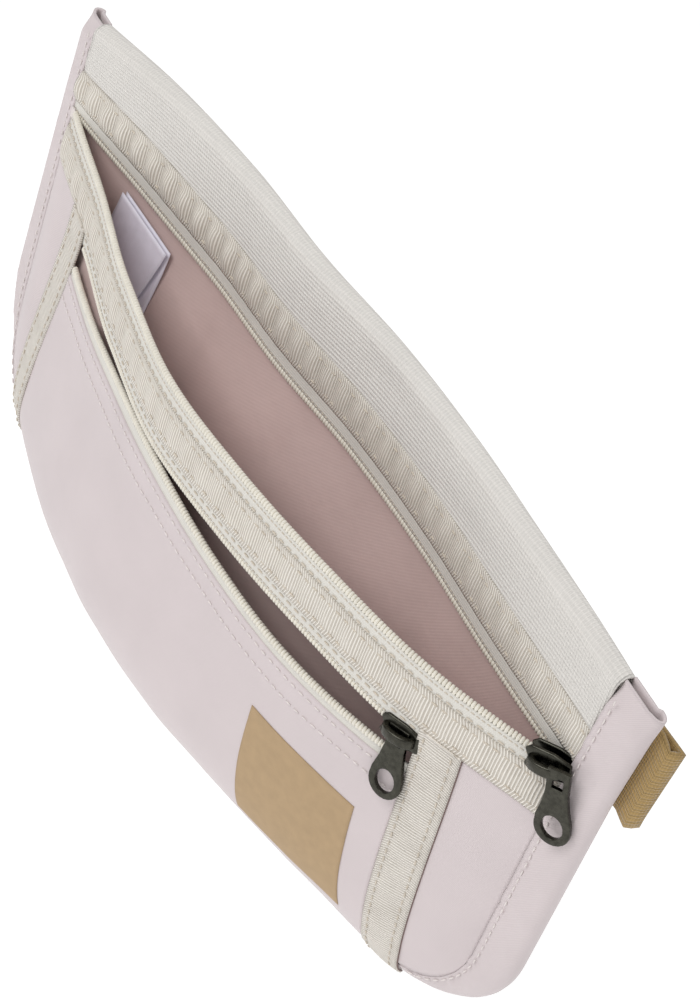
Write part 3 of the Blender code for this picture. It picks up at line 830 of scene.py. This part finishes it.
def makeInside():
    def divider(u, v):
        reach = pouch["zipHalf"] - 3 * mm
        x = between(-reach, reach, u)
        length = wallLength(x)
        depth = between(length - 1 * mm, 1.2 * mm, v)
        spot = wall(x, depth)
        deep = between(0.9, 11, smooth(4 * mm, 22 * mm, depth)) * mm
        # lies close to the wall at the left end, in front of the care label
        left = smooth(-60 * mm, -74 * mm, x)
        deep = min(deep, 0.75 * (pouch["frontY"] - spot[1]), between(11, 1.8, left) * mm)
        fold = abs(noise.noise(Vector((x * 24, depth * 9, 7)))) * 1.5 * mm
        fold *= smooth(4 * mm, 20 * mm, depth) * (1 - left)
        return (x, spot[1] + deep + fold, spot[2] + 4 * mm * (1 - v))

    flat = (260, 110)
    cloth("pocketDivider", 150, 60, flat, divider, "lining", ["pocket_divider"], 0.4 * mm, slot="lining")
    for name, node, gap, length, tilt in (
        ("careLabel", "care_label", 4.4 * mm, 40 * mm, -2 * mm),
        ("careLabelUnder", "care_label_under", 3.0 * mm, 45 * mm, 7 * mm),
    ):

        def label(u, v, gap=gap, length=length, tilt=tilt):
            x = between(-99 * mm, -73 * mm, u) + tilt * (1 - v)
            z = pouch["lipZ"] - between(length, 5 * mm, v) - 3 * mm * u
            curl = math.sin(u * 3.0) * 1.4 * mm
            inner = wallAtHeight(x, z) + 5.5 * mm - gap * 0.6
            return (x, max(backY(x, z) - gap - curl * (1 - v), inner), z)

        piece = cloth(name, 20, 24, (26, length / mm), label, "label", [node], 0.25 * mm, slot="label")


patch = {"centre": 72 * mm, "size": 39 * mm, "drop": 19.5 * mm, "skew": 4 * mm}


def makePatch():
    def square(u, v):
        x = patch["centre"] + patch["size"] * (u - 0.5) + patch["skew"] * (1 - v)
        depth = panelTop(patch["centre"]) + patch["drop"] + patch["size"] * (1 - v)
        return panelPoint(x, depth, 0.55 * mm)

    cloth("patchPrint", 40, 40, (40, 40), square, "patch", ["logo_patch"], 0.15 * mm, slot="patch")


def makeStops():
    size = 5 * mm
    for nodes, x, depth in (
        (["main_stop_right"], zipHalf - 1.0 * mm, 0.5 * mm),
        (["main_stop_left"], -zipHalf + 1.0 * mm, 0.5 * mm),
        (["pocket_stop_right"], pouch["tapeInner"] - 1.2 * mm, 23.6 * mm),
        (["pocket_stop_left"], -pouch["tapeInner"] + 1.2 * mm, 23.6 * mm),
    ):
        rows = []
        for k in range(5):
            spot = Vector(turnEnds(*wall(x, depth, 0.5 * mm))) + Vector(((k - 2) * 0.35 * mm, 0, 0))
            rows.append((spot, Vector((0, 0, 1)), Vector((0, -1, 0)), (size / 2, 0.25 * mm, 0.3 * mm)))
        grains("bartack_" + nodes[0], rows, "thread", nodes)


looks["sideTape"] = ribLook("sideTapeRib", (0.66, 0.59, 0.50), (0.90, 0.85, 0.78), 0.86, 12.0, False)
makeBackStrips()
makePanelBack()
makeZips()
makeFront()
makeBands()
makeInside()
makePatch()
makeStops()
print("cloth done")


def roundEdges(piece, width):
    bevel = piece.modifiers.new("edges", "BEVEL")
    bevel.width = width
    bevel.segments = 3
    bevel.limit_method = "ANGLE"
    bevel.angle_limit = math.radians(35)


def prism(made, outline, low, high):
    # an outline in X and Z, drawn out along Y
    corners = [made.verts.new((x, low, z)) for x, z in outline]
    face = made.faces.new(corners)
    grown = bmesh.ops.extrude_face_region(made, geom=[face])["geom"]
    tops = [item for item in grown if isinstance(item, bmesh.types.BMVert)]
    bmesh.ops.translate(made, verts=tops, vec=(0, high - low, 0))


def oval(halfX, halfZ, count, middle):
    turns = [2 * math.pi * k / count for k in range(count)]
    return [(halfX * math.cos(turn), middle + halfZ * math.sin(turn)) for turn in turns]


# shift moves a slider and its pull along the pull's hinge, and seat sets its plate in from there
slider = {
    "shift": {"main": 4.6 * mm, "pocket": 0},
    "seat": {"main": 1.85 * mm, "pocket": -0.15 * mm},
    "length": 12.6 * mm,
    "height": 7.6 * mm,
    "plate": 1.2 * mm,
    "gap": 1.9 * mm,
    "rearPlate": 1.0 * mm,
    "crown": 3.2 * mm,
    "crownWall": 1.5 * mm,
    "crownWidth": 3.0 * mm,
    "edge": 0.45 * mm,
}
# tilt is in degrees about the hinge; hook and slot are where the tab hangs on the crown
pull = {
    "tilt": {"main": 0, "pocket": -5},
    "length": 20 * mm,
    "ring": 9.4 * mm,
    "neck": 5.6 * mm,
    "thick": 1.4 * mm,
    "edge": 0.25 * mm,
    "hook": 1.8 * mm,
    "slot": (1.7 * mm, 0.1 * mm, -3.6 * mm),
    "hole": (3.2 * mm, 3.7 * mm),
}


def joint(name):
    return next(j for j in frame["joints"] if j["name"] == name)


def sliderBase(name):
    # where a slider's plate sits: from its pull's pivot and the slope of the zip there
    hinge = joint(name + "_pull_swing")
    pivot = Vector(hinge["pos_m"])
    axis = Vector(hinge["axis"]).normalized()
    out = axis.cross(Vector((0, 0, 1))).normalized()
    if out.y > 0:
        out = -out
    up = out.cross(axis).normalized()
    if up.z < 0:
        up = -up
    return pivot, axis, -out, up


def turnToZip(piece, origin, axis, inward, up):
    turn = Matrix((axis, inward, up)).transposed().to_4x4()
    piece.data.transform(Matrix.Translation(origin) @ turn)


def makeSlider(name):
    pivot, axis, inward, up = sliderBase(name)
    made = bmesh.new()
    length, height = slider["length"], slider["height"]
    plate = [
        (-length * 0.5, -height * 0.30), (-length * 0.36, -height * 0.5), (length * 0.12, -height * 0.5),
        (length * 0.5, -height * 0.34), (length * 0.5, height * 0.34), (length * 0.12, height * 0.5),
        (-length * 0.36, height * 0.5), (-length * 0.5, height * 0.30), (-length * 0.42, 0),
    ]
    prism(made, plate, 0, slider["plate"])
    rear = slider["plate"] + slider["gap"]
    prism(made, plate, rear, rear + slider["rearPlate"])
    prism(made, oval(1.6 * mm, 1.2 * mm, 12, 0), slider["plate"] - 0.2 * mm, rear + 0.3 * mm)
    crownSteps = 14
    outer, inner = [], []
    for k in range(crownSteps + 1):
        angle = math.pi * k / crownSteps
        outer.append((length * 0.40 * math.cos(angle), -slider["crown"] * math.sin(angle) ** 0.7))
        hollow = (slider["crown"] - slider["crownWall"]) * math.sin(angle) ** 0.7
        inner.append((length * 0.27 * math.cos(angle), 0.2 * mm - hollow))
    wide = slider["crownWidth"] / 2
    loop = outer + inner[::-1]
    corners = [made.verts.new((x, y + 0.3 * mm, -wide)) for x, y in loop]
    count = crownSteps + 1
    faces = []
    for k in range(count - 1):
        quad = (corners[k], corners[k + 1], corners[2 * count - 2 - k], corners[2 * count - 1 - k])
        faces.append(made.faces.new(quad))
    grown = bmesh.ops.extrude_face_region(made, geom=faces)["geom"]
    tops = [item for item in grown if isinstance(item, bmesh.types.BMVert)]
    bmesh.ops.translate(made, verts=tops, vec=(0, 0, 2 * wide))
    bmesh.ops.recalc_face_normals(made, faces=made.faces)
    piece = finish(name + "SliderBody", made, "metal", [name + "_slider"], name + "_slider")
    pivot = pivot + axis * slider["shift"][name]
    turnToZip(piece, pivot + inward * slider["seat"][name], axis, inward, up)
    for face in piece.data.polygons:
        face.use_smooth = True
    roundEdges(piece, slider["edge"])
    return pivot, axis, inward, up


def makePull(name, seat):
    pivot, axis, inward, up = seat
    ring, neck = pull["ring"] / 2, pull["neck"] / 2
    low = -pull["length"] + ring
    waist = neck + 0.6 * mm
    side = [(neck, pull["hook"]), (neck, -4.5 * mm), (waist, -8.5 * mm), (ring - 0.2 * mm, low + 2.6 * mm)]
    turns = [math.radians(-15 * k) for k in range(13)]
    outline = side + [(ring * math.cos(turn), low + ring * math.sin(turn)) for turn in turns]
    outline += [(-x, z) for x, z in reversed(side)]
    data = bpy.data.curves.new(name + "PullOutline", "CURVE")
    data.dimensions = "2D"
    data.fill_mode = "BOTH"
    data.extrude = pull["thick"] / 2 - pull["edge"]
    data.bevel_depth = pull["edge"]
    data.bevel_resolution = 2
    wide, high, deep = pull["slot"]
    slot = [(wide, high), (wide, deep), (-wide, deep), (-wide, high)]
    hole = oval(*pull["hole"], 24, low + 0.3 * mm)
    for points in (outline, slot, hole):
        line = data.splines.new("POLY")
        line.points.add(len(points) - 1)
        line.use_cyclic_u = True
        for knot, point in zip(line.points, points):
            knot.co = (*point, 0, 1)
    curve = bpy.data.objects.new(name + "PullOutline", data)
    bpy.context.scene.collection.objects.link(curve)
    bpy.context.view_layer.update()
    mesh = bpy.data.meshes.new_from_object(curve.evaluated_get(bpy.context.evaluated_depsgraph_get()))
    bpy.data.objects.remove(curve)
    made = bmesh.new()
    made.from_mesh(mesh)
    bmesh.ops.remove_doubles(made, verts=made.verts, dist=0.00001)
    for vertex in made.verts:
        vertex.co = Vector((vertex.co.x, -vertex.co.z, vertex.co.y))
    bmesh.ops.recalc_face_normals(made, faces=made.faces)
    piece = finish(name + "PullTab", made, "metal", [name + "_pull"], name + "_pull")
    tilt = Matrix.Rotation(math.radians(pull["tilt"][name]), 3, axis)
    turnToZip(piece, pivot + axis * slider["shift"][name], axis, tilt @ inward, tilt @ up)
    piece.data.set_sharp_from_angle(angle=math.radians(40))


for name in ("main", "pocket"):
    makePull(name, makeSlider(name))
print("sliders done")


# runs are the belt's three parallel places behind the pouch
belt = {
    "width": 32 * mm,
    "thick": 1.3 * mm,
    "low": -55 * mm,
    "runs": (7.2 * mm, 15.2 * mm, 22.6 * mm),
    "sewnY": 4.9 * mm,
}


def uTurn(x, y, radius, z, side):
    knots = []
    for k in range(7):
        angle = math.pi * k / 6
        knots.append((x + side * radius * math.sin(angle), y + radius * (1 - math.cos(angle)), z))
    return knots


def lane(start, end, y):
    count = 1 + round(abs(end - start) / (12 * mm))
    return [(between(start, end, k / count), y, belt["low"]) for k in range(count + 1)]


def strapLine(knots, steps):
    knots = np.array(knots)
    chords = np.r_[0, np.cumsum(np.linalg.norm(np.diff(knots, axis=0), axis=1))]
    padded = np.vstack([2 * knots[0] - knots[1], knots, 2 * knots[-1] - knots[-2]])
    points = []
    for share in np.linspace(0, chords[-1], steps + 1):
        k = min(len(knots) - 2, int(np.searchsorted(chords, share, "right")) - 1)
        t = (share - chords[k]) / (chords[k + 1] - chords[k])
        points.append(curveThrough(*padded[k : k + 4], t))
    return points, chords[-1]


def strap(name, knots, nodes, body="pouch"):
    steps = 5 * len(knots)
    points, length = strapLine(knots, steps)

    def spot(u, v):
        x, y, z = points[round(u * steps)]
        return (x, y, z + belt["width"] * (v - 0.5))

    flat = (length / mm, belt["width"] / mm)
    piece = cloth(name, steps, 12, flat, spot, "elastic", nodes, belt["thick"], "elastic", body)
    return piece


def makeBelt():
    runs = belt["runs"]
    drop = -2.5 * mm
    loop = [(half - 12 * mm, belt["sewnY"], drop), (half, belt["sewnY"], drop)]
    loop += uTurn(half + 3 * mm, belt["sewnY"], 1.5 * mm, drop - 2 * mm, 1)
    down = [(0.120, 0.0096, -0.010), (0.085, 0.0120, -0.030), (0.050, 0.0098, -0.048)]
    turn = uTurn(-0.092, runs[0], (runs[1] - runs[0]) / 2, belt["low"], -1)
    path = loop + down + lane(0.024, -0.080, runs[0]) + turn + lane(-0.080, 0.095, runs[1])
    strap("beltRight", path, ["belt_right"])
    tail = uTurn(0.0953, runs[1], (runs[2] - runs[1]) / 2, belt["low"], 1)
    piece = strap("beltTail", tail + lane(0.080, -0.0154, runs[2]), ["belt_tail"], None)
    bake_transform(piece)
    left = [
        (-half + 12 * mm, belt["sewnY"], 0),
        (-0.120, 0.0070, -0.004),
        (-0.098, 0.0165, -0.022),
        (-0.078, 0.0218, -0.045),
        (-0.0603, runs[2], belt["low"]),
    ]
    strap("beltLeft", left, ["belt_left"])


makeBelt()
for name in ("buckle_female", "buckle_male", "belt_adjuster", "belt_keeper"):
    node = frame["nodes"][name]
    node.data.materials.clear()
    node.data.materials.append(looks["plastic"])
print("belt done")


def addLight(name, place, target, size, power):
    data = bpy.data.lights.new(name, "AREA")
    data.size = size
    data.energy = power
    lamp = bpy.data.objects.new(name, data)
    bpy.context.scene.collection.objects.link(lamp)
    lamp.location = place
    lamp.rotation_euler = (Vector(target) - Vector(place)).to_track_quat("-Z", "Y").to_euler()


def makeStudio():
    made = bmesh.new()
    bmesh.ops.create_grid(made, x_segments=1, y_segments=1, size=4)
    mesh = bpy.data.meshes.new("floor")
    made.to_mesh(mesh)
    made.free()
    floor = bpy.data.objects.new("floor", mesh)
    floor.location = (0, 0, -0.32)
    bpy.context.scene.collection.objects.link(floor)
    paint = bpy.data.materials.new("floorPaint")
    paint.use_nodes = True
    shader = paint.node_tree.nodes["Principled BSDF"]
    shader.inputs["Base Color"].default_value = (0.9, 0.9, 0.9, 1)
    shader.inputs["Roughness"].default_value = 0.9
    shader.inputs["Emission Color"].default_value = (1, 1, 1, 1)
    shader.inputs["Emission Strength"].default_value = 0.35
    mesh.materials.append(paint)
    world = bpy.data.worlds.new("studio")
    world.use_nodes = True
    world.node_tree.nodes["Background"].inputs[0].default_value = (1, 1, 1, 1)
    world.node_tree.nodes["Background"].inputs[1].default_value = 0.5
    bpy.context.scene.world = world
    addLight("keyLight", (-0.35, -0.9, 1.1), (0, 0, -0.03), 0.8, 9)
    addLight("fillLight", (1.0, -0.5, 0.5), (0, 0, -0.03), 1.0, 2.5)
    addLight("rimLight", (0.2, 0.9, 0.9), (0, 0, 0), 0.8, 4)
    bpy.context.scene.view_settings.view_transform = "Standard"


makeStudio()
